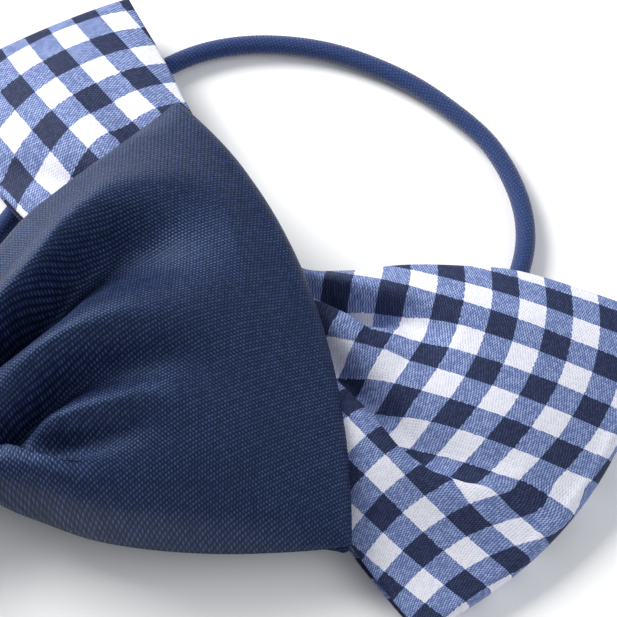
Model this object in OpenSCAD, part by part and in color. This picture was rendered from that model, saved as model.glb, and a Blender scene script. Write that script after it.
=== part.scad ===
// Layered hair bow on an elastic ring: a satin bow in front, a gingham bow
// behind each of its loops, a felt backing and a ring of braided elastic.
// The bow lies on its back: +X along the bow, +Y towards its top edge, +Z out of
// its front. The origin is the middle of the centre wrap's flat back.

/* [Satin bow] */
// Length of one satin loop, from the middle of the knot to its fold
satin_len = 44.5; // [40:0.5:50]
// Height of a satin loop at its fold
satin_height = 53; // [46:1:60]
// Height of a satin loop where it leaves the knot
satin_neck = 14; // [11:0.5:16]
// Thickness of a puffed satin loop at its middle
satin_puff = 8.5; // [6:0.5:11]
// Thickness of a satin loop at its fold
satin_fold = 3.6; // [2.5:0.1:5]

/* [Gingham bows] */
// Distance from the knot to a gingham bow's gather, along the bow
gather_x = 39; // [36:0.5:44]
// Height of a gingham bow's gather above the knot
gather_y = 7.5; // [4:0.5:10]
// Length of the outer gingham loop
outer_len = 44; // [39:0.5:48]
// Width of the outer gingham loop at its fold
outer_width = 42; // [36:1:48]
// Direction of the outer gingham loop below the bow's axis
outer_drop = 50; // [44:1:56]
// Length of the upper gingham loop
upper_len = 43; // [38:0.5:46]
// Width of the upper gingham loop at its fold
upper_width = 26; // [22:1:30]
// Direction of the upper gingham loop above the bow's axis
upper_rise = 103; // [98:1:108]
// How far the upper gingham loop's fold is set towards the knot from its gather
upper_sway = 8; // [5:0.5:10]
// Thickness of a puffed gingham loop at its middle
gingham_puff = 4.6; // [3:0.2:6]

/* [Knot and ties] */
// Width of the centre wrap along the bow
wrap_w = 12; // [9:0.5:14]
// Height of the gathered satin inside the wrap
waist_h = 12.5; // [10:0.5:15]
// Thickness of the folded wrap strip
wrap_t = 0.6; // [0.4:0.1:0.8]
// Thickness of the gathered satin inside the wrap
waist_t = 7; // [5.5:0.5:8]
// Width of a gingham bow's tie strip
tie_w = 5; // [4:0.5:7]
// Thickness of a gingham bow's tie strip
tie_t = 0.5; // [0.4:0.1:0.7]
// Height across a gingham bow's gathered waist
gather_h = 7; // [6:0.5:8]
// Thickness of a gingham bow's gathered waist
gather_t = 5; // [4:0.5:5.5]
// Diameter of the sewing thread
thread_d = 0.4; // [0.3:0.05:0.5]

/* [Backing] */
// Width of the felt strip
felt_w = 12; // [10:0.5:14]
// Thickness of the felt strip
felt_t = 1.2; // [0.8:0.1:1.6]

/* [Elastic] */
// Diameter of the braided elastic
elastic_d = 2.3; // [2:0.1:2.6]
// Length of the sleeve that joins the elastic's two ends
sleeve_len = 6; // [4:0.5:8]
// Wall of the sleeve
sleeve_wall = 0.3; // [0.2:0.05:0.35]
// How far below the knot's middle the elastic passes through the wrap
tunnel_drop = 4; // [3.5:0.25:4.5]

/* [Hidden] */

satin_blue = [0.12, 0.19, 0.38];
gingham_blue = [0.45, 0.53, 0.78];
felt_blue = [0.10, 0.14, 0.26];
elastic_blue = [0.13, 0.22, 0.47];
thread_blue = [0.10, 0.15, 0.30];

gap = 0.35;                       // clearance between pieces that move past each other
sleeve_r = elastic_d / 2 + sleeve_wall;
tunnel_z = wrap_t + 0.15 + sleeve_r;
swing_room = 0.75;                // room for the ring to turn over under the felt
felt_z = tunnel_z + sleeve_r + swing_room;
felt_top = felt_z + felt_t;
felt_turn = wrap_w / 2 + felt_w / 2; // the felt runs straight through the wrap this far
wrap_h = max(waist_h + 2 * thread_d, felt_w) + 2 * (wrap_t + gap);
wrap_top = felt_top + waist_t + 2 * gap + 2 * thread_d + wrap_t;
tie_top = felt_top + gather_t + 2 * (tie_t + thread_d);
tie_z = (felt_top + tie_top) / 2;
waist_z = felt_top + gap + thread_d + waist_t / 2;
neck_x = wrap_w / 2 + 2.6;          // where a satin loop's own solid starts
gather = [gather_x, gather_y];
tie_aim = (upper_rise + 16 - outer_drop) / 2 + 90; // direction of a gingham bow's axis
gingham_neck = gather_h - 0.4;      // height of a gingham loop where it leaves its tie
gingham_neck_z = [felt_top + 0.8, tie_top - 1.1]; // and its underside and top there

// Elastic's route through the wrap, out under the right loops and back over the top.
ring_z = elastic_d / 2 + 0.05;
over_ring = ring_z + elastic_d / 2 + gap; // what lies over the ring starts here
low = -tunnel_drop;
route = [[0.2, low, tunnel_z], [6, low, tunnel_z], [11, low, 1.7], [18, low, ring_z],
    [28, low, ring_z], [40, low, ring_z], [50, low, ring_z], [58, low, ring_z], [64.5, -2.2, ring_z],
    [69, 1.8, ring_z], [72, 7, ring_z], [73, 13, ring_z], [72, 20, ring_z], [69, 26, ring_z],
    [64.5, 32, ring_z], [58, 37.5, ring_z], [51, 40.8, ring_z], [44, 42, ring_z],
    [37.5, 41, ring_z], [30, 37.5, ring_z], [22, 31.5, ring_z], [15, 25, ring_z],
    [8.5, 19, ring_z], [1.5, 14.3, ring_z], [-5.5, 11, ring_z], [-12, 7.8, ring_z],
    [-15.8, 4, ring_z], [-15.8, -0.8, ring_z], [-12, low + 0.1, ring_z + 0.1],
    [-6, low, tunnel_z], [-0.2, low, tunnel_z]];
ring_steps = 2;                   // rings of the tube between two points of the route
ring_sides = 8;

function mix(a, b, k) = a + (b - a) * k;
function ease(k) = k * k * (3 - 2 * k);
// Points of an arc from one angle to another.
function arc(centre, r, from, to, steps) =
    [for (i = [0:steps]) let (a = mix(from, to, i / steps)) centre + r * [cos(a), sin(a)]];
// A curve through the values b, m and a at -1, 0 and 1.
function bend(b, m, a, t) = m + (a - b) / 2 * t + ((a + b) / 2 - m) * t * t;

// Where a gingham loop that runs off at an angle starts, clear of the tied waist's end.
function past_tie(aim) = tie_w / 2 + 0.7 + gather_h / 2 * abs(sin(aim - tie_aim));

// A point of a route, by a Catmull-Rom curve between points i and i + 1.
function spline(p, i, k) =
    let (n = len(p) - 1, a = p[max(i - 1, 0)], b = p[i], c = p[min(i + 1, n)], d = p[min(i + 2, n)])
    0.5 * (2 * b + (c - a) * k + (2 * a - 5 * b + 4 * c - d) * k * k + (3 * b - a - 3 * c + d) * k * k * k);
function unit(v) = v / norm(v);

// A tube along a route that stays nearly level, so each ring stands upright.
module tube(path, d, sides) {
    last = len(path) - 1;
    points = [for (i = [0:last])
        let (along = unit(path[min(i + 1, last)] - path[max(i - 1, 0)]),
             across = unit(cross([0, 0, 1], along)), up = cross(along, across))
        for (j = [0:sides - 1])
            path[i] + d / 2 * (across * cos(360 * (j + 0.5) / sides) + up * sin(360 * (j + 0.5) / sides))];
    sides_of = [for (i = [0:last - 1], j = [0:sides - 1])
        let (k = (j + 1) % sides)
        [i * sides + j, (i + 1) * sides + j, (i + 1) * sides + k, i * sides + k]];
    ends = [[for (j = [0:sides - 1]) j], [for (j = [sides - 1:-1:0]) last * sides + j]];
    polyhedron(points, concat(sides_of, ends), convexity = 6);
}

// A puffed loop of cloth as a closed solid. s runs from the gather to the fold and t
// from -1 to 1 across. The neck lies sway to the side of the fold's middle. Heights are
// [under, over]: at the neck, and on the fold at t = -1, in the middle and at t = 1.
// The cloth spreads, rises and puffs up sooner along its length the smaller spread, rise
// and crest are.
module loop(root, aim, start, length, fold_bow, fold_skew, neck, width, spread, sway, puff,
            rise, crest, neck_z, low_z, mid_z, high_z) {
    ns = 10;
    nt = 10;
    ahead = [cos(aim), sin(aim)];
    aside = [-sin(aim), cos(aim)];
    function reach(t) = length - fold_bow * t * t + fold_skew * t;
    function place(s, t) = root + ahead * mix(start, reach(t), s)
        + aside * (mix(neck / 2 * t, width / 2 * t - sway, pow(s, spread)));
    function height(s, t, k) = mix(neck_z[k], bend(low_z[k], mid_z[k], high_z[k], t), ease(pow(s, rise)));
    function under(s, t) = height(s, t, 0);
    function over(s, t) = height(s, t, 1) + puff * sin(180 * pow(s, crest)) * (1 - 0.75 * t * t);
    function middle(s, t) = (under(s, t) + over(s, t)) / 2;
    function side(s, t, k) = mix(middle(s, t), k == 0 ? under(s, t) : over(s, t),
        sqrt(1 - pow(0.9 * t, 4)));
    points = [for (k = [0, 1], i = [0:ns], j = [0:nt])
        let (s = i / ns, t = 2 * j / nt - 1, q = place(s, t)) [q.x, q.y, side(s, t, k)]];
    row = nt + 1;
    sheet = (ns + 1) * row;
    quads = [for (i = [0:ns - 1], j = [0:nt - 1]) [i * row + j, (i + 1) * row + j,
        (i + 1) * row + j + 1, i * row + j + 1]];
    under_faces = [for (q = quads, h = [0, 1]) h == 0 ? [q[0], q[1], q[2]] : [q[0], q[2], q[3]]];
    over_faces = [for (f = under_faces) [f[2] + sheet, f[1] + sheet, f[0] + sheet]];
    rim = concat([for (i = [0:ns - 1]) i * row], [for (j = [0:nt - 1]) ns * row + j],
        [for (i = [ns:-1:1]) i * row + nt], [for (j = [nt:-1:1]) j]);
    walls = [for (i = [0:len(rim) - 1], h = [0, 1])
        let (a = rim[i], b = rim[(i + 1) % len(rim)])
        h == 0 ? [a, a + sheet, b + sheet] : [a, b + sheet, b]];
    polyhedron(points, concat(under_faces, over_faces, walls), convexity = 4);
}

// Outline with round corners, centred.
module soft_rect(w, h, r) {
    square([w - 2 * r, h], center = true);
    square([w, h - 2 * r], center = true);
    for (x = [-1, 1], y = [-1, 1])
        translate([x * (w / 2 - r), y * (h / 2 - r)]) circle(r, $fn = 32);
}

// A flat band bent round a bundle: w by h outside, t thick, wide along its own axis.
module band(w, h, r, t, wide) {
    translate([0, 0, -wide / 2]) linear_extrude(wide) difference() {
        soft_rect(w, h, r);
        soft_rect(w - 2 * t, h - 2 * t, r - t);
    }
}

// Turns a shape made along Z so that it lies along a direction in the bow's plane.
module lay(aim) {
    rotate([0, 0, aim]) rotate([90, 0, 90]) children();
}

// A short stitch that lies flat, with round ends.
module stitch(length) {
    rotate([0, 90, 0]) cylinder(h = length, d = thread_d, center = true, $fn = 16);
    for (x = [-1, 1]) translate([x * length / 2, 0, 0]) sphere(d = thread_d, $fn = 16);
}

// The satin loop lies over the gingham tie, and its lower corner droops.
module satin_loop_right() {
    low_lift = 4;    // underside of the fold's lower corner
    high_lift = 11;  // underside of the fold's upper corner
    mid_lift = tie_top + gap;
    color(satin_blue) loop(root = [0, 0], aim = 0, start = neck_x, length = satin_len,
        fold_bow = 5, fold_skew = -2.6, neck = satin_neck, width = satin_height, spread = 0.55,
        sway = 0, puff = satin_puff - satin_fold, rise = 0.6, crest = 1,
        neck_z = [waist_z - waist_t / 2 + 0.6, waist_z + waist_t / 2 - 0.2],
        low_z = [low_lift, low_lift + satin_fold], mid_z = [mid_lift, mid_lift + satin_fold],
        high_z = [high_lift, high_lift + satin_fold]);
}

module satin_loop_left() {
    mirror([1, 0, 0]) satin_loop_right();
}

module satin_waist() {
    color(satin_blue) translate([0, 0, waist_z]) lay(0)
        translate([0, 0, -wrap_w / 2 - 1]) linear_extrude(wrap_w + 2)
            soft_rect(waist_h, waist_t, 2.5);
}

module satin_gather_thread() {
    color(thread_blue) for (x = [-1:1]) translate([x * 2 * thread_d, 0, waist_z]) lay(0)
        band(waist_h + 2 * thread_d, waist_t + 2 * thread_d, 2.5 + thread_d, thread_d, thread_d);
}

module centre_wrap() {
    color(satin_blue) translate([0, 0, wrap_top / 2]) lay(0)
        band(wrap_h, wrap_top, 3, wrap_t, wrap_w);
}

module wrap_stitches() {
    color(thread_blue) for (x = [-1.5:1:1.5])
        translate([x * wrap_w / 5, -wrap_h / 2 - thread_d / 2, felt_z]) rotate([0, 90, 0]) stitch(1.6);
}

// The upper gingham loop lies flat over the elastic.
module upper_loop_right() {
    edge = 2.4;    // thickness at the fold's ends
    middle = 2.8;  // thickness at the fold's middle
    color(gingham_blue) loop(root = gather, aim = upper_rise, start = past_tie(upper_rise),
        length = upper_len, fold_bow = 0.6, fold_skew = 0.3, neck = gingham_neck, width = upper_width,
        spread = 0.5, sway = -upper_sway, puff = gingham_puff - 2.6, rise = 0.8, crest = 1.6,
        neck_z = gingham_neck_z, low_z = [over_ring, over_ring + edge],
        mid_z = [over_ring, over_ring + middle], high_z = [over_ring, over_ring + edge]);
}

// The outer gingham loop rests its lower corner and lifts its upper one over the elastic.
module outer_loop_right() {
    edge = 2.6;    // thickness at the fold's lower end
    middle = 3.6;  // thickness in its middle and at its upper end
    lift = [0, 1.2, 3.4];
    color(gingham_blue) loop(root = gather, aim = -outer_drop, start = past_tie(180 - outer_drop),
        length = outer_len, fold_bow = 5.5, fold_skew = 1, neck = gingham_neck, width = outer_width,
        spread = 0.72, sway = 0, puff = gingham_puff - 1.6, rise = 0.9, crest = 1.7,
        neck_z = gingham_neck_z, low_z = [lift[0], lift[0] + edge],
        mid_z = [lift[1], lift[1] + middle], high_z = [lift[2], lift[2] + middle]);
}

module gingham_waist_right() {
    color(gingham_blue) translate([gather.x, gather.y, tie_z]) lay(tie_aim)
        translate([0, 0, -tie_w / 2 - 0.4]) linear_extrude(tie_w + 0.8)
            soft_rect(gather_h - 0.6, gather_t, 2);
}

module gingham_thread_right() {
    color(thread_blue) translate([gather.x, gather.y, tie_z]) lay(tie_aim)
        for (x = [-1:1]) translate([0, 0, x * 1.5 * thread_d])
            band(gather_h - 0.6 + 2 * thread_d, gather_t + 2 * thread_d, 2 + thread_d, thread_d, thread_d);
}

module gingham_tie_right() {
    color(satin_blue) translate([gather.x, gather.y, tie_z]) lay(tie_aim)
        band(gather_h - 0.6 + 2 * (thread_d + tie_t), tie_top - felt_top, 2.4 + thread_d, tie_t, tie_w);
}

module backing_stitches_right() {
    color(thread_blue) translate([gather.x, gather.y, felt_z - thread_d / 2]) rotate([0, 0, tie_aim])
        for (x = [-1, 1], y = [-1, 1]) translate([x * 2.2, y * 2.4, 0]) rotate([0, 0, 90]) stitch(1.8);
}

// One strip: straight through the wrap, then an arm up to each gather with a round end.
module felt_backing() {
    r = felt_w / 2;
    aim = atan2(gather.y, gather.x - felt_turn);
    right = concat(arc([felt_turn, 0], r, -90, aim - 90, 4), arc(gather, r, aim - 90, aim + 90, 32),
        [[felt_turn - r * tan(aim / 2), r]]);
    left = [for (i = [len(right) - 1:-1:0]) [-right[i].x, right[i].y]];
    color(felt_blue) translate([0, 0, felt_z]) linear_extrude(felt_t) polygon(concat(right, left));
}

module elastic_band() {
    path = [for (i = [0:len(route) - 2], k = [0:ring_steps - 1]) spline(route, i, k / ring_steps)];
    color(elastic_blue) tube(concat(path, [route[len(route) - 1]]), elastic_d, ring_sides);
}

module elastic_sleeve() {
    color(felt_blue) translate([0, low, tunnel_z]) rotate([0, 90, 0]) difference() {
        cylinder(h = sleeve_len, r = sleeve_r, center = true, $fn = 48);
        cylinder(h = sleeve_len + 1, d = elastic_d + 0.04, center = true, $fn = 48);
    }
}

satin_loop_right();
satin_loop_left();
satin_waist();
satin_gather_thread();
centre_wrap();
wrap_stitches();
upper_loop_right();
outer_loop_right();
gingham_waist_right();
gingham_thread_right();
gingham_tie_right();
backing_stitches_right();
mirror([1, 0, 0]) upper_loop_right();  // upper_loop_left
mirror([1, 0, 0]) outer_loop_right();  // outer_loop_left
mirror([1, 0, 0]) gingham_waist_right();  // gingham_waist_left
mirror([1, 0, 0]) gingham_thread_right();  // gingham_thread_left
mirror([1, 0, 0]) gingham_tie_right();  // gingham_tie_left
mirror([1, 0, 0]) backing_stitches_right();  // backing_stitches_left
felt_backing();
elastic_band();
elastic_sleeve();
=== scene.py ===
"""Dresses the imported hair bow: its cloth loops, wraps, felt and elastic, with their fabrics, light and view.

Lengths are millimetres until a mesh is made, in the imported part's own frame: +X along the bow, +Y to its
top edge and +Z out of its front.
"""

import logging
import math
from collections.abc import Sequence
from dataclasses import dataclass, field, replace
from enum import Enum

import bpy
import numpy as np
from mathutils import Matrix, Vector


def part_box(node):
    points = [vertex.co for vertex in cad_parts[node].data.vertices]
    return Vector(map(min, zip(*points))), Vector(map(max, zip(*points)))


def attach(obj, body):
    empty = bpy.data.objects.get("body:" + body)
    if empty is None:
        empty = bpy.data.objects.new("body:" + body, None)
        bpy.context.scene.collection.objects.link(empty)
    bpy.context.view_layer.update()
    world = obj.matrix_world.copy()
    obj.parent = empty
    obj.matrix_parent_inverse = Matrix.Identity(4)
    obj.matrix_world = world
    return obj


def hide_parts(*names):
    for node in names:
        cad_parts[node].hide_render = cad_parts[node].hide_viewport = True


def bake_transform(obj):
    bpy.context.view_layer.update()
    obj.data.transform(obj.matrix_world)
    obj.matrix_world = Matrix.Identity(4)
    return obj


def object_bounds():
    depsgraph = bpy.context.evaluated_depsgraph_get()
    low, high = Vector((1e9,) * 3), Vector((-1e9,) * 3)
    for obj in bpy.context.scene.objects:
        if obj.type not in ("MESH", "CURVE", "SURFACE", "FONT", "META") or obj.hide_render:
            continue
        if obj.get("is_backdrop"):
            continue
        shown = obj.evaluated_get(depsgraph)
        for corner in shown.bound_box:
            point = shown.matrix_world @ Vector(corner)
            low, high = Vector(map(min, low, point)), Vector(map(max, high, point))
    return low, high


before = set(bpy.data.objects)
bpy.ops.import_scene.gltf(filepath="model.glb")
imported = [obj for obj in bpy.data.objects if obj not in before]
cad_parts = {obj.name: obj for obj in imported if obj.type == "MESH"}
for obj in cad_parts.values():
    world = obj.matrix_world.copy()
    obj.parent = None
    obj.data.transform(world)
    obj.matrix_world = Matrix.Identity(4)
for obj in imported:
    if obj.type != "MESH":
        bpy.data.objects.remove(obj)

LOG = logging.getLogger("hair_bow")
MM = 0.001
CHECK = 3.2  # one square of the gingham
FLOAT_END = 0.4  # how high a float still is at its ends, as a share
SHORT_YARN = 0.35  # how high the crossing yarn is beside a float
STRIP_THICKNESS = 0.3  # of the wrap's and the ties' cloth
Socket = bpy.types.NodeSocket
Pair = tuple[float, float]


# ---------------------------------------------------------------- small helpers


def mix(a: float, b: float, k: float) -> float:
    """The value a share k of the way from a to b."""
    return a + (b - a) * k


def ease(k: np.ndarray) -> np.ndarray:
    """A smooth step of k, from 0 at 0 to 1 at 1."""
    k = np.clip(k, 0, 1)
    return k * k * (3 - 2 * k)


def bend(low: float, middle: float, high: float, t: np.ndarray) -> np.ndarray:
    """A parabola through low, middle and high at t = -1, 0 and 1."""
    return middle + (high - low) / 2 * t + ((high + low) / 2 - middle) * t * t


def curve(points: Sequence[Pair], at: np.ndarray) -> np.ndarray:
    """Reads a smooth curve through given points.

    Args:
        points: (position, value) pairs in rising order of position.
        at: the positions to read.

    Returns:
        The values there, held level past both ends.
    """
    x, y = np.array(points, float).T
    rise = np.diff(y) / np.diff(x)
    level = rise[:-1] * rise[1:] <= 0
    inner = np.where(level, 0, 2 * rise[:-1] * rise[1:] / np.where(level, 1, rise[:-1] + rise[1:]))
    slope = np.concatenate([rise[:1], inner, rise[-1:]])
    k = np.clip(np.searchsorted(x, at) - 1, 0, len(x) - 2)
    h = x[k + 1] - x[k]
    t = np.clip((at - x[k]) / h, 0, 1)
    return (
        (1 + 2 * t) * (1 - t) ** 2 * y[k]
        + t * (1 - t) ** 2 * h * slope[k]
        + t * t * (3 - 2 * t) * y[k + 1]
        + t * t * (t - 1) * h * slope[k + 1]
    )


def turned(x: np.ndarray, y: np.ndarray, degrees: float) -> tuple[np.ndarray, np.ndarray]:
    """The place (x, y) turned about the origin."""
    c, s = math.cos(math.radians(degrees)), math.sin(math.radians(degrees))
    return x * c - y * s, x * s + y * c


def top_of(node: str) -> float:
    """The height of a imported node's top, in millimetres."""
    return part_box(node)[1].z / MM


def bottom_of(node: str) -> float:
    """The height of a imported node's underside, in millimetres."""
    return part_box(node)[0].z / MM


def middle_of(node: str) -> Vector:
    """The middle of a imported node's box, in millimetres."""
    low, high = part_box(node)
    return (low + high) / (2 * MM)


def deselect() -> None:
    """Leaves nothing selected, because an operator acts on all that is."""
    if bpy.context.mode != "OBJECT":
        bpy.ops.object.mode_set(mode="OBJECT")
    bpy.ops.object.select_all(action="DESELECT")


def only(piece: bpy.types.Object) -> bpy.types.Object:
    """Selects one piece and makes it active."""
    deselect()
    piece.select_set(True)
    bpy.context.view_layer.objects.active = piece
    return piece


def apply_modifiers(piece: bpy.types.Object) -> None:
    """Applies every modifier of a piece, in order."""
    only(piece)
    for name in [m.name for m in piece.modifiers]:
        bpy.ops.object.modifier_apply(modifier=name)


def thicken(piece: bpy.types.Object, thickness: float) -> None:
    """Gives cloth its thickness in millimetres, inwards."""
    thick = piece.modifiers.new("thickness", "SOLIDIFY")
    thick.thickness, thick.offset = thickness * MM, -1
    apply_modifiers(piece)


def grid_mesh(name: str, rows: np.ndarray, weave: np.ndarray, closed: bool = False,
              flip: bool = False) -> bpy.types.Object:
    """Makes a smooth mesh of a grid of points, with the weave's place on it as a UV map in metres.

    Args:
        name: the piece's name.
        rows: points in millimetres, an array of rows by columns by 3.
        weave: the cloth's flat coordinates in millimetres, an array of rows by columns by 2.
        closed: True where the last column meets the first; rows then repeats its first column.
        flip: True turns the faces over.

    Returns:
        The new object, at the origin.
    """
    ns, nt = rows.shape[:2]
    shared = nt - 1 if closed else nt
    index = np.arange(ns)[:, None] * shared + (np.arange(nt) % shared)[None, :]
    a, b, c, d = index[:-1, :-1], index[1:, :-1], index[1:, 1:], index[:-1, 1:]
    order = (d, c, b, a) if flip else (a, b, c, d)
    faces = np.stack(order, -1).reshape(-1, 4)
    grid = np.arange(ns * nt).reshape(ns, nt)
    corners = (grid[:-1, :-1], grid[1:, :-1], grid[1:, 1:], grid[:-1, 1:])
    corners = np.stack(corners[::-1] if flip else corners, -1).reshape(-1)
    mesh = bpy.data.meshes.new(name)
    mesh.from_pydata((rows[:, :shared].reshape(-1, 3) * MM).tolist(), [], faces.tolist())
    uv = mesh.uv_layers.new(name="weave")
    uv.data.foreach_set("uv", (weave.reshape(-1, 2)[corners] * MM).astype(np.float32).ravel())
    mesh.polygons.foreach_set("use_smooth", [True] * len(mesh.polygons))
    mesh.update()
    piece = bpy.data.objects.new(name, mesh)
    bpy.context.scene.collection.objects.link(piece)
    return piece


# ---------------------------------------------------------------- shader graphs


class Graph:
    """Builds a node tree one small step at a time."""

    def __init__(self, tree: bpy.types.NodeTree) -> None:
        """Keeps the tree that the steps are added to."""
        self.tree = tree

    def node(self, kind: str, **values: object) -> bpy.types.Node:
        """Adds a node and sets its properties.

        Args:
            kind: the node's type.
            values: properties by name.

        Returns:
            The node.
        """
        made = self.tree.nodes.new(kind)
        for name, value in values.items():
            setattr(made, name, value)
        return made

    def put(self, socket: Socket, value: object) -> None:
        """Links a socket to an input, or sets the input to a number, vector or colour."""
        if isinstance(value, bpy.types.NodeSocket):
            self.tree.links.new(value, socket)
        elif isinstance(value, (tuple, list)) and socket.type == "RGBA" and len(value) == 3:
            socket.default_value = (*value, 1)
        else:
            socket.default_value = value

    def math(self, operation: str, a: object, b: object = 0.0, c: object = 0.0) -> Socket:
        """A Math node's result."""
        made = self.node("ShaderNodeMath", operation=operation)
        for socket, value in zip(made.inputs, (a, b, c)):
            self.put(socket, value)
        return made.outputs[0]

    def blend(self, share: object, a: object, b: object) -> Socket:
        """A colour a share of the way from a to b."""
        made = self.node("ShaderNodeMix", data_type="RGBA")
        self.put(made.inputs["Factor"], share)
        self.put(made.inputs[6], a)
        self.put(made.inputs[7], b)
        return made.outputs[2]

    def noise(self, vector: Socket, scale: float, detail: float = 2.0, roughness: float = 0.5) -> Socket:
        """A noise texture's value, from 0 to 1."""
        made = self.node("ShaderNodeTexNoise")
        for name, value in (("Vector", vector), ("Scale", scale), ("Detail", detail), ("Roughness", roughness)):
            self.put(made.inputs[name], value)
        return made.outputs["Fac"]

    def remap(self, value: Socket, low: float, high: float, to_low: float = 0.0, to_high: float = 1.0) -> Socket:
        """A value moved smoothly from one range to another."""
        made = self.node("ShaderNodeMapRange", interpolation_type="SMOOTHSTEP")
        for name, number in zip(("From Min", "From Max", "To Min", "To Max"), (low, high, to_low, to_high)):
            made.inputs[name].default_value = number
        self.put(made.inputs["Value"], value)
        return made.outputs["Result"]

    def bump(self, height: Socket, strength: float, depth: float) -> Socket:
        """A Bump node's normal, with the relief's depth in metres."""
        made = self.node("ShaderNodeBump")
        for name, value in (("Strength", strength), ("Distance", depth), ("Height", height)):
            self.put(made.inputs[name], value)
        return made.outputs["Normal"]

    def split(self, vector: Socket) -> bpy.types.NodeOutputs:
        """A vector's X, Y and Z."""
        made = self.node("ShaderNodeSeparateXYZ")
        self.put(made.inputs[0], vector)
        return made.outputs

    def group(self, group: bpy.types.NodeTree, **values: object) -> bpy.types.Node:
        """Places a shared group with its own values.

        Args:
            group: the shared node group.
            values: its inputs by name.

        Returns:
            The group's node.
        """
        made = self.node("ShaderNodeGroup", node_tree=group)
        for name, value in values.items():
            self.put(made.inputs[name], value)
        return made


def new_group(name: str, inputs: dict[str, str], outputs: dict[str, str]) -> tuple[Graph, dict, dict]:
    """Starts a shader node group.

    Args:
        name: the group's name.
        inputs: socket types by name.
        outputs: socket types by name.

    Returns:
        A graph of the group, its input sockets by name and its result sockets by name.
    """
    tree = bpy.data.node_groups.new(name, "ShaderNodeTree")
    for label, kind in inputs.items():
        tree.interface.new_socket(label, in_out="INPUT", socket_type=kind)
    for label, kind in outputs.items():
        tree.interface.new_socket(label, in_out="OUTPUT", socket_type=kind)
    graph = Graph(tree)
    start = graph.node("NodeGroupInput").outputs
    end = graph.node("NodeGroupOutput").inputs
    return graph, {label: start[label] for label in inputs}, {label: end[label] for label in outputs}


def weave_group() -> bpy.types.NodeTree:
    """Makes the shared weave: which yarn lies on top at a place, and how high the cloth is there.

    Its inputs are the cloth's flat place in metres, the yarn's pitch in metres, how many yarns make one
    repeat, how many of those the long yarn floats over, and how far each row's floats are shifted. It
    gives a mask of the long yarn, the relief and a random value for each yarn.

    Returns:
        The node group.
    """
    value, vector = "NodeSocketFloat", "NodeSocketVector"
    g, given, result = new_group(
        "woven_yarns",
        {"Place": vector, "Pitch": value, "Repeat": value, "Float": value, "Shift": value, "Waver": value},
        {"Over": value, "Height": value, "Yarn": value},
    )
    wave = g.noise(given["Place"], 900.0, 1.0)
    place = g.split(given["Place"])
    sway = g.math("MULTIPLY", g.math("SUBTRACT", wave, 0.5), given["Waver"])
    along = g.math("ADD", g.math("DIVIDE", place["X"], given["Pitch"]), sway)
    across = g.math("ADD", g.math("DIVIDE", place["Y"], given["Pitch"]), sway)
    row, column = g.math("FLOOR", across), g.math("FLOOR", along)
    step = g.math("FLOORED_MODULO", g.math("ADD", along, g.math("MULTIPLY", row, given["Shift"])), given["Repeat"])
    over = g.math("LESS_THAN", step, given["Float"])
    in_float = g.math("DIVIDE", step, given["Float"])
    arch = g.math("SINE", g.math("MULTIPLY", g.math("MINIMUM", in_float, 1.0), math.pi))
    round_long = g.math("SINE", g.math("MULTIPLY", g.math("FRACT", across), math.pi))
    round_short = g.math("SINE", g.math("MULTIPLY", g.math("FRACT", along), math.pi))
    long_yarn = g.math("MULTIPLY", round_long, g.math("MULTIPLY_ADD", arch, 1 - FLOAT_END, FLOAT_END))
    short_yarn = g.math("MULTIPLY", round_short, SHORT_YARN)
    height = g.math("ADD", g.math("MULTIPLY", long_yarn, over),
                    g.math("MULTIPLY", short_yarn, g.math("SUBTRACT", 1.0, over)))
    seed = g.node("ShaderNodeCombineXYZ")
    g.put(seed.inputs["X"], g.math("FLOOR", g.math("DIVIDE", column, given["Repeat"])))
    g.put(seed.inputs["Y"], row)
    white = g.node("ShaderNodeTexWhiteNoise", noise_dimensions="2D")
    g.put(white.inputs["Vector"], seed.outputs[0])
    g.put(result["Over"], over)
    g.put(result["Height"], height)
    g.put(result["Yarn"], white.outputs["Value"])
    return g.tree


class Finish:
    """A finish: its look is a node material, made once."""

    name = "finish"
    slot = "satin"
    roughness = 0.6
    sheen = 0.3
    specular = 0.35
    gloss = (1.0, 1.0, 1.0)

    def __init__(self, weave: bpy.types.NodeTree) -> None:
        """Makes the material around one shader."""
        self.weave = weave
        self.material = bpy.data.materials.new(self.name)
        self.material.use_nodes = True
        self.material.node_tree.nodes.clear()
        g = Graph(self.material.node_tree)
        self.shader = g.node("ShaderNodeBsdfPrincipled")
        self.shader.inputs["Roughness"].default_value = self.roughness
        self.shader.inputs["Specular IOR Level"].default_value = self.specular
        self.shader.inputs["Specular Tint"].default_value = (*self.gloss, 1)
        self.shader.inputs["Sheen Weight"].default_value = self.sheen
        self.shader.inputs["Sheen Roughness"].default_value = 0.4
        g.put(g.node("ShaderNodeOutputMaterial").inputs["Surface"], self.shader.outputs[0])
        self.build(g)

    def build(self, g: Graph) -> None:
        """Adds the finish's own nodes; each finish has its own."""
        raise NotImplementedError

    def cloth_place(self, g: Graph) -> Socket:
        """The cloth's flat place in metres, from the piece's own map."""
        return g.node("ShaderNodeUVMap", uv_map="weave").outputs[0]

    def body_place(self, g: Graph) -> Socket:
        """The piece's place in metres."""
        return g.node("ShaderNodeTexCoord").outputs["Object"]

    def show(self, g: Graph, colour: Socket, height: Socket, strength: float, depth: float) -> None:
        """Gives the shader its colour and its relief, the relief's depth in metres."""
        g.put(self.shader.inputs["Base Color"], colour)
        g.put(self.shader.inputs["Normal"], g.bump(height, strength, depth))

    def dress(self, piece: bpy.types.Object) -> None:
        """Gives the piece this finish."""
        if piece.material_slots:
            for place in piece.material_slots:
                place.material = self.material
        else:
            piece.data.materials.append(self.material)


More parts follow.
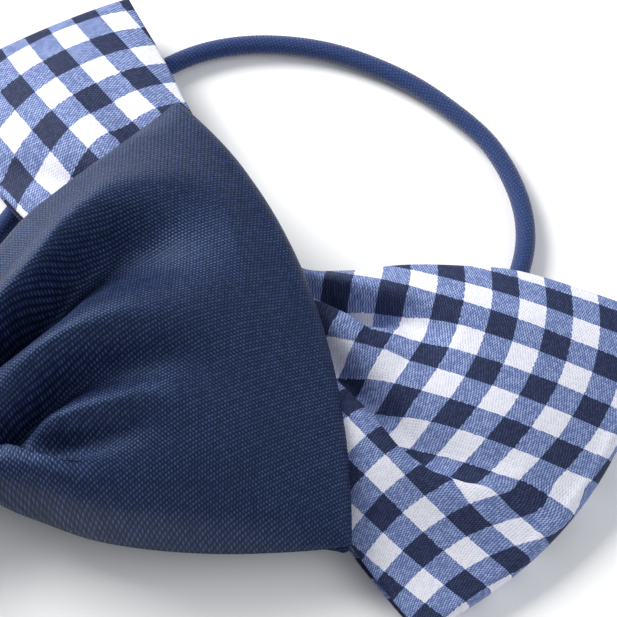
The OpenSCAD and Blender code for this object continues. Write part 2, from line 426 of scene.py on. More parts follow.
class NavySatin(Finish):
    """Navy satin: long floats in slanted rows, painted lighter as highlight on the floats and darker as shade between
    them, with a soft gloss.
    """

    name = "navy_satin"
    slot = "satin"
    roughness = 0.40
    sheen = 0.0
    specular = 0.42
    gloss = (0.36, 0.56, 1.0)
    pitch = 0.00036
    # Painted shade: the navy between the floats, darkened as if in shadow between the yarns.
    shaded_ground = (0.002, 0.005, 0.019)
    ground_roughness = 0.55
    # Painted highlight: the navy of the floats, lightened as if lit on their tops.
    lit_float_colour = (0.047, 0.073, 0.196)
    # Sets how sharply the painted highlight on a float stands out from the painted shade beside it.
    contrast = 1.7  # how sharply a float stands out from the ground

    def build(self, g: Graph) -> None:
        """Lays the floats, gives them relief and paints them lighter the higher they stand, as painted highlight and
        painted shade.
        """
        place = self.cloth_place(g)
        woven = g.group(self.weave, Place=place, Pitch=self.pitch, Repeat=1.0, Float=0.72, Shift=0.38,
                        Waver=0.35).outputs
        shade = g.remap(g.noise(place, 160.0), 0.3, 0.7, 0.85, 1.1)
        # Painted light: the colour follows each float's height, lighter on top as highlight and darker between floats
        # as shade.
        floats = g.math("POWER", woven["Height"], self.contrast)
        lit = g.math("MULTIPLY", floats, g.remap(woven["Yarn"], 0.0, 1.0, 0.55, 1.15))
        colour = g.blend(g.math("MULTIPLY", lit, shade), self.shaded_ground, self.lit_float_colour)
        self.show(g, colour, woven["Height"], 0.8, 0.00007)
        rough = g.remap(woven["Height"], 0.0, 1.0, self.ground_roughness, self.roughness)
        g.put(self.shader.inputs["Roughness"], rough)


class Gingham(Finish):
    """Gingham: white and navy bands woven both ways, with the yarn beneath showing through as specks; the white
    squares get painted shade lines and the navy ones painted highlight specks.
    """

    name = "gingham"
    slot = "gingham"
    roughness = 0.7
    sheen = 0.04
    specular = 0.2
    pitch = 0.00031
    fray = 0.00010  # how far a yarn strays over a band's edge, in metres
    # The white pair's darker yarn on top is painted shade lines.
    white = ((0.62, 0.63, 0.76), (0.84, 0.84, 0.90))  # each pair: the yarn on top, and between the yarns
    blue = ((0.33, 0.41, 0.66), (0.045, 0.078, 0.25))
    # The navy pair is a lit and a shaded copy of the navy: painted highlight on the yarn on top, painted shade between
    # the yarns.
    navy = ((0.036, 0.052, 0.130), (0.006, 0.010, 0.034))

    def band(self, g: Graph, place: Socket) -> Socket:
        """A mask of the dark bands along one direction of the cloth."""
        turn = g.math("FRACT", g.math("MULTIPLY_ADD", place, 1 / (2 * CHECK * MM), 0.5))
        return g.math("LESS_THAN", g.math("ABSOLUTE", g.math("SUBTRACT", turn, 0.5)), 0.25)

    def build(self, g: Graph) -> None:
        """Crosses the bands and weaves them, painting shade lines on the white and highlights on the navy."""
        place = self.cloth_place(g)
        woven = g.group(self.weave, Place=place, Pitch=self.pitch, Repeat=1.0, Float=0.62, Shift=0.41,
                        Waver=0.6).outputs
        fray = g.math("MULTIPLY", g.math("SUBTRACT", woven["Yarn"], 0.5), self.fray)
        along, across = (self.band(g, g.math("ADD", g.split(place)[axis], fray)) for axis in "XY")
        over = g.math("MULTIPLY", woven["Over"], g.remap(woven["Yarn"], 0.0, 1.0, 0.45, 1.0))
        # The yarn-on-top mask paints shade lines on the white and highlights on the navy.
        white, blue, navy = (g.blend(over, pair[1], pair[0]) for pair in (self.white, self.blue, self.navy))
        pale = g.blend(g.math("MAXIMUM", along, across), white, blue)
        self.show(g, g.blend(g.math("MULTIPLY", along, across), pale, navy), woven["Height"], 0.45, 0.00007)


class Braid(Finish):
    """Braided elastic: fine yarns that cross round the cord, slightly fuzzy."""

    name = "braided_elastic"
    slot = "elastic"
    roughness = 0.7
    sheen = 0.5
    specular = 0.25
    pitch = 0.00030
    shade = (0.005, 0.014, 0.062)
    light = (0.036, 0.086, 0.300)

    def build(self, g: Graph) -> None:
        """Crosses the yarns."""
        place = self.cloth_place(g)
        woven = g.group(self.weave, Place=place, Pitch=self.pitch, Repeat=2.0, Float=1.1, Shift=1.0,
                        Waver=0.8).outputs
        fuzz = g.noise(place, 2600.0, 3.0, 0.7)
        lit = g.math("MULTIPLY", woven["Height"], g.remap(fuzz, 0.25, 0.75, 0.4, 1.3))
        relief = g.math("MULTIPLY_ADD", fuzz, 0.4, woven["Height"])
        self.show(g, g.blend(lit, self.shade, self.light), relief, 0.6, 0.00008)


class Felt(Finish):
    """Pressed felt: matted fibres with no weave."""

    name = "felt"
    slot = "felt"
    roughness = 0.95
    sheen = 0.6
    specular = 0.1
    shade = (0.006, 0.010, 0.028)
    light = (0.022, 0.034, 0.080)

    def build(self, g: Graph) -> None:
        """Mats the fibres."""
        place = self.body_place(g)
        fibres = g.noise(place, 1500.0, 5.0, 0.75)
        clumps = g.noise(place, 260.0, 3.0)
        mat = g.math("MULTIPLY", g.remap(fibres, 0.3, 0.7), g.remap(clumps, 0.25, 0.75, 0.5, 1.0))
        self.show(g, g.blend(mat, self.shade, self.light), fibres, 0.8, 0.00012)


class Thread(Finish):
    """Sewing thread: two plies twisted together."""

    name = "sewing_thread"
    slot = "thread"
    roughness = 0.5
    sheen = 0.2
    twist = 16000.0  # how tight the twist is, in radians a metre
    shade = (0.006, 0.011, 0.034)
    light = (0.030, 0.048, 0.130)

    def build(self, g: Graph) -> None:
        """Twists the plies."""
        place = g.split(self.body_place(g))
        lay = g.math("ADD", place["X"], g.math("ADD", place["Y"], place["Z"]))
        ply = g.math("MULTIPLY_ADD", g.math("SINE", g.math("MULTIPLY", lay, self.twist)), 0.5, 0.5)
        self.show(g, g.blend(ply, self.shade, self.light), ply, 0.6, 0.00005)


class Sleeve(Finish):
    """The shrunk sleeve over the elastic's join: matt, with faint draw lines."""

    name = "shrunk_sleeve"
    slot = "sleeve"
    roughness = 0.55
    sheen = 0.0
    specular = 0.4
    shade = (0.010, 0.016, 0.036)
    light = (0.024, 0.034, 0.066)

    def build(self, g: Graph) -> None:
        """Draws fine lines along the sleeve."""
        drawn = g.node("ShaderNodeMapping")
        drawn.inputs["Scale"].default_value = (0.15, 1.0, 1.0)
        g.put(drawn.inputs["Vector"], self.body_place(g))
        lines = g.noise(drawn.outputs[0], 2200.0, 3.0)
        g.put(self.shader.inputs["Roughness"], g.remap(lines, 0.3, 0.7, 0.45, 0.65))
        self.show(g, g.blend(lines, self.shade, self.light), lines, 0.3, 0.00004)


@dataclass
class Finishes:
    """The finishes of the whole bow."""

    satin: Finish
    gingham: Finish
    braid: Finish
    felt: Finish
    thread: Finish
    sleeve: Finish

    @classmethod
    def make(cls) -> "Finishes":
        """Makes every finish around one shared weave."""
        weave = weave_group()
        return cls(NavySatin(weave), Gingham(weave), Braid(weave), Felt(weave), Thread(weave), Sleeve(weave))


# ---------------------------------------------------------------- view, light and floor


@dataclass(frozen=True)
class Studio:
    """The view, the light and the floor."""

    eye: tuple = (22.2, -82.3, 178.2)
    tilt: float = 27.0  # of the line of sight from straight down
    swing: float = 15.0  # of the line of sight round the bow
    lens: float = 102.7
    looked_at: tuple = (0.03, 0, 0)  # where the lamps point, in metres
    floor_size: float = 3.0
    below: float = 0.0002  # how far the floor lies under the bow

    def camera(self) -> None:
        """Places the camera and makes it the scene's own."""
        turn, lean = math.radians(self.swing), math.radians(self.tilt)
        right = Vector((math.cos(turn), -math.sin(turn), 0))
        level = Vector((math.sin(turn), math.cos(turn), 0))
        up = level * math.cos(lean) + Vector((0, 0, math.sin(lean)))
        back = right.cross(up)
        data = bpy.data.cameras.new("view")
        data.lens, data.sensor_width, data.clip_start = self.lens, 36.0, 0.01
        view = bpy.data.objects.new("view", data)
        bpy.context.scene.collection.objects.link(view)
        view.matrix_world = Matrix.Translation(Vector(self.eye) * MM) @ Matrix((right, up, back)).transposed().to_4x4()
        bpy.context.scene.camera = view

    def lamp(self, name: str, place: tuple, size: float, power: float, colour: tuple) -> None:
        """Adds a square lamp that looks at the bow.

        Args:
            name: the lamp's name.
            place: where it hangs, in metres.
            size: its side, in metres.
            power: its power in watts.
            colour: its colour.
        """
        data = bpy.data.lights.new(name, "AREA")
        data.size, data.energy, data.color = size, power, colour
        lamp = bpy.data.objects.new(name, data)
        bpy.context.scene.collection.objects.link(lamp)
        lamp.location = place
        lamp.rotation_euler = (Vector(self.looked_at) - Vector(place)).to_track_quat("-Z", "Y").to_euler()

    def light(self) -> None:
        """Lights the bow softly, most of it from behind its top edge."""
        self.lamp("key", (-0.36, 0.54, 0.47), 0.42, 10.0, (1.0, 0.985, 0.96))
        self.lamp("fill", (0.55, -0.30, 0.60), 0.7, 2.7, (0.94, 0.97, 1.0))
        world = bpy.data.worlds.new("studio")
        bpy.context.scene.world = world
        world.use_nodes = True
        sky = world.node_tree.nodes["Background"]
        sky.inputs["Color"].default_value = (0.95, 0.97, 1.0, 1)
        sky.inputs["Strength"].default_value = 0.36
        bpy.context.scene.view_settings.view_transform = "Standard"

    def floor(self) -> None:
        """Lays a plain pale floor."""
        deselect()
        bpy.ops.mesh.primitive_plane_add(size=self.floor_size, location=(0, 0, -self.below))
        floor = bpy.context.object
        floor.name = floor.data.name = "floor"
        bpy.ops.object.transform_apply(location=True, rotation=True, scale=True)
        material = bpy.data.materials.new("floor")
        material.use_nodes = True
        shader = material.node_tree.nodes["Principled BSDF"]
        shader.inputs["Base Color"].default_value = (0.96, 0.96, 0.965, 1)
        shader.inputs["Roughness"].default_value = 0.9
        floor.data.materials.append(material)
        floor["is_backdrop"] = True


# ---------------------------------------------------------------- the elastic


@dataclass
class Elastic:
    """The ring of braided elastic, whose ends meet in a sleeve behind the knot."""

    diameter: float = 2.3
    low: float = -4.0
    tunnel: float = 2.2
    floor: float = 1.2
    step: float = 0.25
    sides: int = 24
    relief: float = 0.035  # height of the braid's yarns
    lay: float = 1.1  # length of one turn of the braid along the cord
    yarns: int = 4  # how many yarns run round it each way
    slant: Pair = (0.55, 0.4)  # how far the weave leans round and along the cord

    def route(self) -> list[tuple]:
        """The points that the cord follows, round numbers in millimetres."""
        low, z = self.low, self.floor
        level = [(18, low), (28, low), (40, low), (50, low), (58, low), (64.5, -2.2), (69, 1.8), (72, 7),
                 (73, 13), (72, 20), (69, 26), (64.5, 32), (58, 37.5), (51, 40.8), (44, 42), (37.5, 41),
                 (30, 37.5), (22, 31.5), (15, 25), (8.5, 19), (1.5, 14.3), (-5.5, 11), (-12, 7.8),
                 (-15.8, 4), (-15.8, -0.8)]
        return [(0.2, low, self.tunnel), (6, low, self.tunnel), (11, low, 1.7), *[(x, y, z) for x, y in level],
                (-12, low + 0.1, z + 0.1), (-6, low, self.tunnel), (-0.2, low, self.tunnel)]

    def centreline(self) -> np.ndarray:
        """The cord's middle, evenly spaced along a smooth curve through the route."""
        p = np.array(self.route(), float)
        p = np.vstack([2 * p[0] - p[1], p, 2 * p[-1] - p[-2]])
        fine = []
        for a, b, c, d in zip(p, p[1:], p[2:], p[3:]):
            k = np.linspace(0, 1, 30, endpoint=False)[:, None]
            fine.append(0.5 * (2 * b + (c - a) * k + (2 * a - 5 * b + 4 * c - d) * k * k
                               + (3 * b - a - 3 * c + d) * k ** 3))
        fine = np.vstack([*fine, p[-2:-1]])
        run = np.concatenate([[0], np.cumsum(np.linalg.norm(np.diff(fine, axis=0), axis=1))])
        at = np.linspace(0, run[-1], int(run[-1] / self.step))
        return np.stack([np.interp(at, run, fine[:, k]) for k in range(3)], 1)

    def build(self, finishes: Finishes) -> None:
        """Makes the cord and dresses its sleeve."""
        path = self.centreline()
        length = float(np.linalg.norm(np.diff(path, axis=0), axis=1).sum())
        along = np.gradient(path, axis=0)
        along /= np.linalg.norm(along, axis=1)[:, None]
        across = np.cross((0, 0, 1), along)
        across /= np.linalg.norm(across, axis=1)[:, None]
        up = np.cross(along, across)
        turn = np.linspace(0, 2 * math.pi, self.sides + 1)
        run = np.linspace(0, length, len(path))[:, None]
        along_braid, round_braid = 2 * math.pi * run / self.lay, self.yarns * turn
        braid = np.cos(along_braid + round_braid) * np.cos(along_braid - round_braid)
        radius = (self.diameter / 2 - self.relief / 2 + self.relief * braid)[..., None]
        ring = across[:, None] * np.cos(turn)[None, :, None] + up[:, None] * np.sin(turn)[None, :, None]
        weave = np.stack(np.broadcast_arrays(run + turn * self.slant[0],
                                             turn * self.diameter / 2 - run * self.slant[1]), -1)
        cord = grid_mesh("elastic_cord", path[:, None] + radius * ring, weave, closed=True, flip=True)
        finishes.braid.dress(cord)
        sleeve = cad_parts["elastic_sleeve"]
        finishes.sleeve.dress(sleeve)
        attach(cord, "ring")
        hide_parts("elastic_band")
        LOG.info("elastic cord, %.0f mm", length)


# ---------------------------------------------------------------- cloth loops


class FoldKind(Enum):
    """How the cloth is folded along a line."""

    RIDGE = 1
    VALLEY = -1
    LAP = 0


@dataclass(frozen=True)
class Fold:
    """A fold along a line on a loop's front; each point is (distance from the root, value)."""

    kind: FoldKind
    line: tuple
    height: tuple
    width: tuple
    side: int = -1  # which side's cloth lies on top, where it laps
    lap: float = 0.0  # how far that cloth lies over the other
    fade: float = 6.0  # how far back the raised cloth stays up

    def lift(self, a: np.ndarray, y: np.ndarray) -> tuple[np.ndarray, np.ndarray]:
        """Works out how far the fold moves the cloth.

        Args:
            a: distances along the loop.
            y: distances across the loop.

        Returns:
            How far it moves up, and how far across.
        """
        height, width = curve(self.height, a), curve(self.width, a)
        off = (y - curve(self.line, a)) / width
        if self.kind is not FoldKind.LAP:
            return self.kind.value * height * np.exp(-off * off), np.zeros_like(off)
        off = off * self.side
        back = np.exp(-(np.maximum(off, 0) * width / self.fade) ** 2)
        up = height * (0.5 + 0.5 * np.tanh(off / 0.6)) * back
        across = -self.side * self.lap * off * np.exp(0.5 - 0.5 * off * off) * np.clip(height, 0, 1)
        return up, across

    def crowding(self, a: np.ndarray, y: np.ndarray) -> np.ndarray:
        """How much closer the mesh's columns run near the fold."""
        off = (y - curve(self.line, a)) / (2.5 * curve(self.width, a))
        return 3 * np.exp(-off * off) * (self.kind is FoldKind.LAP)


@dataclass(frozen=True)
class Lay:
    """How the weave lies on a loop: turned, and gently bowed both ways."""

    turn: float = 0.0
    stretch: Pair = (1.0, 1.0)
    bow: Pair = (0.0, 0.0)
    start: Pair = (0.0, 0.0)

    def at(self, a: np.ndarray, y: np.ndarray) -> np.ndarray:
        """The weave's flat place at a point of the loop, (along, across)."""
        p, q = turned(a, y, -self.turn)
        return np.stack([self.start[0] + self.stretch[0] * p + self.bow[0] * q * q,
                         self.start[1] + self.stretch[1] * q + self.bow[1] * p * p], -1)


@dataclass
class ClothLoop:
    """A loop of gathered cloth: a front, a rounded fold and a back, gathered at its root."""

    name: str
    node: str
    finish: Finish
    root: Pair
    aim: float
    start: float
    length: float
    fold_bow: float
    fold_skew: float
    low_edge: tuple  # how far the loop reaches to each side, by share of its length
    high_edge: tuple
    neck_z: Pair  # the underside's and top's heights: at the gather, then at the fold's foot, middle and head
    low_z: Pair
    middle_z: Pair
    high_z: Pair
    puff: float  # how far the front swells
    rise: float  # how soon it rises from the gather; less is sooner
    crest: float  # how far out the swell is highest; more is further
    flat: Pair
    rests_on: tuple
    folds: tuple = ()
    lay: Lay = field(default_factory=Lay)
    second_lay: Lay | None = None
    split: tuple = ()
    split_width: tuple = ()
    pleats: float = 5.0
    pleat_depth: float = 0.7
    back_pleat: float = 0.9
    curl: float = 0.0  # how far the front's edges roll under, as a share
    tuck: float = 0.9  # how much narrower the back is at the gather
    thickness: float = 0.28
    rows: tuple = (96, 14, 60)  # the mesh's rows on the front, round the fold and on the back
    columns: int = 132
    mirrored: bool = False

    def span(self, s: np.ndarray) -> tuple[np.ndarray, np.ndarray]:
        """The loop's two edges across it, a share s of the way to the fold."""
        return -curve(self.low_edge, s), curve(self.high_edge, s)

    def roundness(self, t: np.ndarray) -> np.ndarray:
        """How much of its thickness the loop keeps towards its edges."""
        return np.sqrt(1 - (0.93 * t) ** 4)

    def level(self, s: np.ndarray, t: np.ndarray, k: int) -> np.ndarray:
        """The height of the loop's underside (k = 0) or top (k = 1), before folds and edges."""
        flat = bend(self.low_z[k], self.middle_z[k], self.high_z[k], t)
        z = mix(self.neck_z[k], flat, ease(s ** self.rise))
        return z + k * self.puff * np.sin(math.pi * s ** self.crest) * (1 - 0.75 * t * t)

    def layer(self, s: np.ndarray, t: np.ndarray, k: int) -> tuple[np.ndarray, np.ndarray, np.ndarray]:
        """The front (k = 1) or the back (k = 0), as distances along, across and up."""
        low, high = self.span(s)
        y = mix(low, high, (t + 1) / 2)
        turn = (self.level(np.ones_like(s), t, 1) - self.level(np.ones_like(s), t, 0)) / 2 * self.roundness(t)
        reach = self.length - self.fold_bow * t * t + self.fold_skew * t - turn
        a = mix(self.start, reach, s)
        under, over = self.level(s, t, 0), self.level(s, t, 1)
        middle = (under + over) / 2
        z = mix(middle, over if k else under, self.roundness(t))
        gathered = (1 - s) ** 2.2
        depth = self.pleat_depth if k else -self.back_pleat
        z = z + depth * gathered * np.cos(math.pi * self.pleats * t) * (1 - t ** 6)
        if k:
            for fold in self.folds:
                up, across = fold.lift(a, y)
                z, y = z + up, y + across
            z = mix(z, under + 0.55, 0.85 * np.clip((np.abs(t) - 0.88) / 0.12, 0, 1) ** 2 * (1 - s ** 8) * self.curl)
        elif self.curl:
            y = y * mix(1, self.tuck, (1 - s) ** 0.7)
        return a, y, z

    def columns_at(self, s: float) -> np.ndarray:
        """The columns' places across one row of the front, closer together at a lap."""
        t = np.linspace(-1, 1, 900)
        low, high = self.span(s)
        y = mix(low, high, (t + 1) / 2)
        a = mix(self.start, self.length - self.fold_bow * t * t, s)
        weight = 1 + sum(fold.crowding(a, y) for fold in self.folds)
        run = np.concatenate([[0], np.cumsum((weight[1:] + weight[:-1]) / 2)])
        return np.interp(np.linspace(0, run[-1], self.columns), run, t)

    def weave_at(self, a: np.ndarray, y: np.ndarray) -> np.ndarray:
        """The weave's flat place on the front, where a fold may split it in two."""
        place = self.lay.at(a, y)
        if self.second_lay is None:
            return place
        share = ease((curve(self.split, a) - y) / curve(self.split_width, a) + 0.5)
        return mix(place, self.second_lay.at(a, y), share[..., None])

    def surface(self) -> tuple[np.ndarray, np.ndarray]:
        """Works out the cloth's points and the weave on them, from the front round to the back."""
        front, turn, back = self.rows
        s = np.linspace(0, 1, front) ** 1.15
        t = np.array([self.columns_at(k) for k in s])
        s = np.broadcast_to(s[:, None], t.shape)
        a, y, z = self.layer(s, t, 1)
        low, high = self.span(s)
        plain = mix(low, high, (t + 1) / 2)
        weave = self.weave_at(a, plain)
        end_t = t[-1][None, :]
        ones = np.ones_like(end_t)
        a1, y1, z1 = (v[-1:] for v in (a, y, z))
        z0 = self.layer(ones, end_t, 0)[2]
        radius, centre = (z1 - z0) / 2, (z1 + z0) / 2
        angle = np.linspace(0, math.pi, turn + 2)[1:-1, None]
        fold = np.stack([a1 + radius * np.sin(angle), y1 + 0 * angle, centre + radius * np.cos(angle)], -1)
        slope = self.weave_at(a1 + 0.01, plain[-1:]) - self.weave_at(a1 - 0.01, plain[-1:])
        slope = slope / 0.02
        fold_weave = weave[-1:] + slope * (radius * angle)[..., None]
        s2 = np.linspace(1, 0, back)[:, None]
        s2, t2 = np.broadcast_arrays(s2, end_t)
        a2, y2, z2 = self.layer(s2, t2, 0)
        back_weave = weave[-1:] + slope * (math.pi * radius + a1 - a2)[..., None]
        flat_y = (y2 - y1)[..., None] * np.array([0.0, 1.0])
        points = np.concatenate([np.stack([a, y, z], -1), fold, np.stack([a2, y2, z2], -1)])
        return points, np.concatenate([weave, fold_weave, back_weave + flat_y])

    def placed(self, points: np.ndarray) -> np.ndarray:
        """Turns the loop's own (along, across, up) into the bow's frame."""
        x, y = turned(points[..., 0], points[..., 1], self.aim)
        x, y = x + self.root[0], y + self.root[1]
        return np.stack([-x if self.mirrored else x, y, points[..., 2]], -1)

    def build(self) -> bpy.types.Object:
        """Makes, thickens and dresses the loop.

        Returns:
            The piece.
        """
        points, weave = self.surface()
        piece = grid_mesh(self.name, self.placed(points), weave, flip=self.mirrored)
        thicken(piece, self.thickness)
        self.finish.dress(piece)
        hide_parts(self.node)
        LOG.info("%s, %d faces", self.name, len(piece.data.polygons))
        return piece

    def on_left(self) -> "ClothLoop":
        """The same loop on the bow's left."""
        return replace(self, name=self.name.replace("right", "left"), node=self.node.replace("right", "left"),
                       rests_on=tuple(n.replace("right", "left") for n in self.rests_on), mirrored=True)


@dataclass
class SatinBow:
    """The navy satin bow in front: two loops, the gathered middle and the centre wrap."""

    finishes: Finishes
    hinge: float = 7.8
    flexes: float = 12.0

    def loop(self) -> ClothLoop:
        """The right loop, with the folds that run out from the knot."""
        waist_low, waist_top = bottom_of("satin_waist"), top_of("satin_waist")
        over_tie = top_of("gingham_tie_right") + 0.35
        folds = (
            Fold(FoldKind.VALLEY, ((8, 0.2), (11.4, 1.4), (14.1, 2.3), (18.3, 4.6), (21.9, 6.7), (26, 7.6), (34, 7.4)),
                 ((7, 4.0), (12, 6.2), (18, 6.4), (24, 5.6), (29, 4.0), (33, 2.0), (38, 0)),
                 ((7, 1.3), (12, 1.8), (18, 2.5), (24, 3.7), (30, 4.8), (38, 6))),
            Fold(FoldKind.RIDGE, ((8, 4.4), (12.6, 5.6), (17, 8.0), (21.6, 11.6), (27.5, 14.2), (36, 14)),
                 ((8, 1.2), (16, 2.3), (26, 2.1), (34, 0.9), (40, 0)), ((8, 2.2), (16, 2.8), (24, 3.2), (40, 5))),
            Fold(FoldKind.RIDGE, ((8, -4.3), (11.3, -3.3), (17.7, -1.8), (23.4, -1.3), (30.7, -1.5), (38, -1)),
                 ((8, 1.5), (15, 2.4), (22, 2.0), (32, 1.0), (40, 0)), ((8, 1.8), (16, 2.2), (28, 3.4), (40, 5))),
            Fold(FoldKind.VALLEY, ((8, -8.2), (12.1, -7.1), (16.3, -5.4), (20, -4.6), (27, -5.2), (32, -6.4)),
                 ((8, 3.2), (14, 4.4), (19, 3.4), (25, 2.1), (31, 1.0), (36, 0)),
                 ((8, 1.1), (14, 1.4), (20, 2.2), (32, 3.2))),
            Fold(FoldKind.RIDGE, ((14, -8.2), (19.8, -8.6), (25.5, -9), (36.8, -8.6)),
                 ((12, 0), (17, 1.0), (24, 1.1), (34, 0)), ((12, 1.2), (20, 1.7), (34, 3))),
            Fold(FoldKind.VALLEY, ((12, -10.4), (17.1, -10.7), (22.1, -10.7), (25, -10.2), (28, -9.8)),
                 ((12, 0), (17, 1.3), (22, 1.1), (28, 0)), ((12, 0.9), (20, 1.3), (28, 2.2))),
            Fold(FoldKind.LAP, ((7, -8.2), (10, -8.8), (13.3, -11), (16.8, -12.5), (21, -13)),
                 ((7, 1.7), (13, 1.6), (17, 0.9), (21, 0)), ((7, 0.5), (14, 0.6), (22, 1.2)), side=-1, lap=0.7,
                 fade=5),
            Fold(FoldKind.RIDGE, ((9, -12), (13, -13.2), (18, -15), (27.8, -15), (36, -14)),
                 ((8, 0.6), (16, 1.0), (26, 0.8), (38, 0)), ((8, 2), (20, 3.5), (38, 5))),
        )
        return ClothLoop(
            name="satin_bow_loop_right", node="satin_loop_right", finish=self.finishes.satin, root=(0, 0), aim=0,
            start=5.6, length=44.5, fold_bow=5, fold_skew=-2.6,
            low_edge=((0, 6.6), (0.04, 10.6), (0.08, 12.4), (0.16, 14.5), (0.33, 18.3), (0.6, 21.8), (0.87, 24.2),
                      (1, 25.3)),
            high_edge=((0, 6.6), (0.05, 9), (0.15, 12.7), (0.28, 16), (0.37, 18.2), (0.53, 20.9), (0.77, 24.6),
                       (1, 27.3)), neck_z=(waist_low + 0.5, waist_top - 0.3), low_z=(4, 7.6),
            middle_z=(over_tie, over_tie + 3.6), high_z=(11, 14.6), puff=4.9, rise=0.6, crest=1.0,
            flat=(55, 84), rests_on=("gingham_loop_upper_right", "gingham_loop_outer_right"), folds=folds,
            lay=Lay(turn=28, bow=(0.004, 0.006)), rows=(130, 14, 70), columns=170, pleats=5, pleat_depth=0.5,
            curl=1.0, tuck=0.86,
        )

    def wrap(self) -> None:
        """Makes the centre wrap: a strip round the knot with soft creases, its edges turned in."""
        low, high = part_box("centre_wrap")
        wide, tall, deep = ((high - low) / MM).to_tuple()
        middle = middle_of("centre_wrap")
        make_band("knot_wrap", self.finishes.satin, middle, 0.0, tall, deep, wide, 3.0, creases=4,
                  node="centre_wrap", crown=0.35)

    def waist(self) -> None:
        """Makes the gathered satin inside the wrap."""
        low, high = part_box("satin_waist")
        size = (high - low) / MM
        make_bundle("satin_gathers", self.finishes.satin, middle_of("satin_waist"), 0.0, size.y, size.z,
                    size.x, "satin_waist")

    def build(self) -> None:
        """Makes the whole satin bow."""
        right = self.loop()
        for side, loop in ((1, right), (-1, right.on_left())):
            piece = loop.build()
            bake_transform(piece)
        self.wrap()
        self.waist()
        for node in ("satin_gather_thread", "wrap_stitches"):
            self.finishes.thread.dress(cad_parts[node])


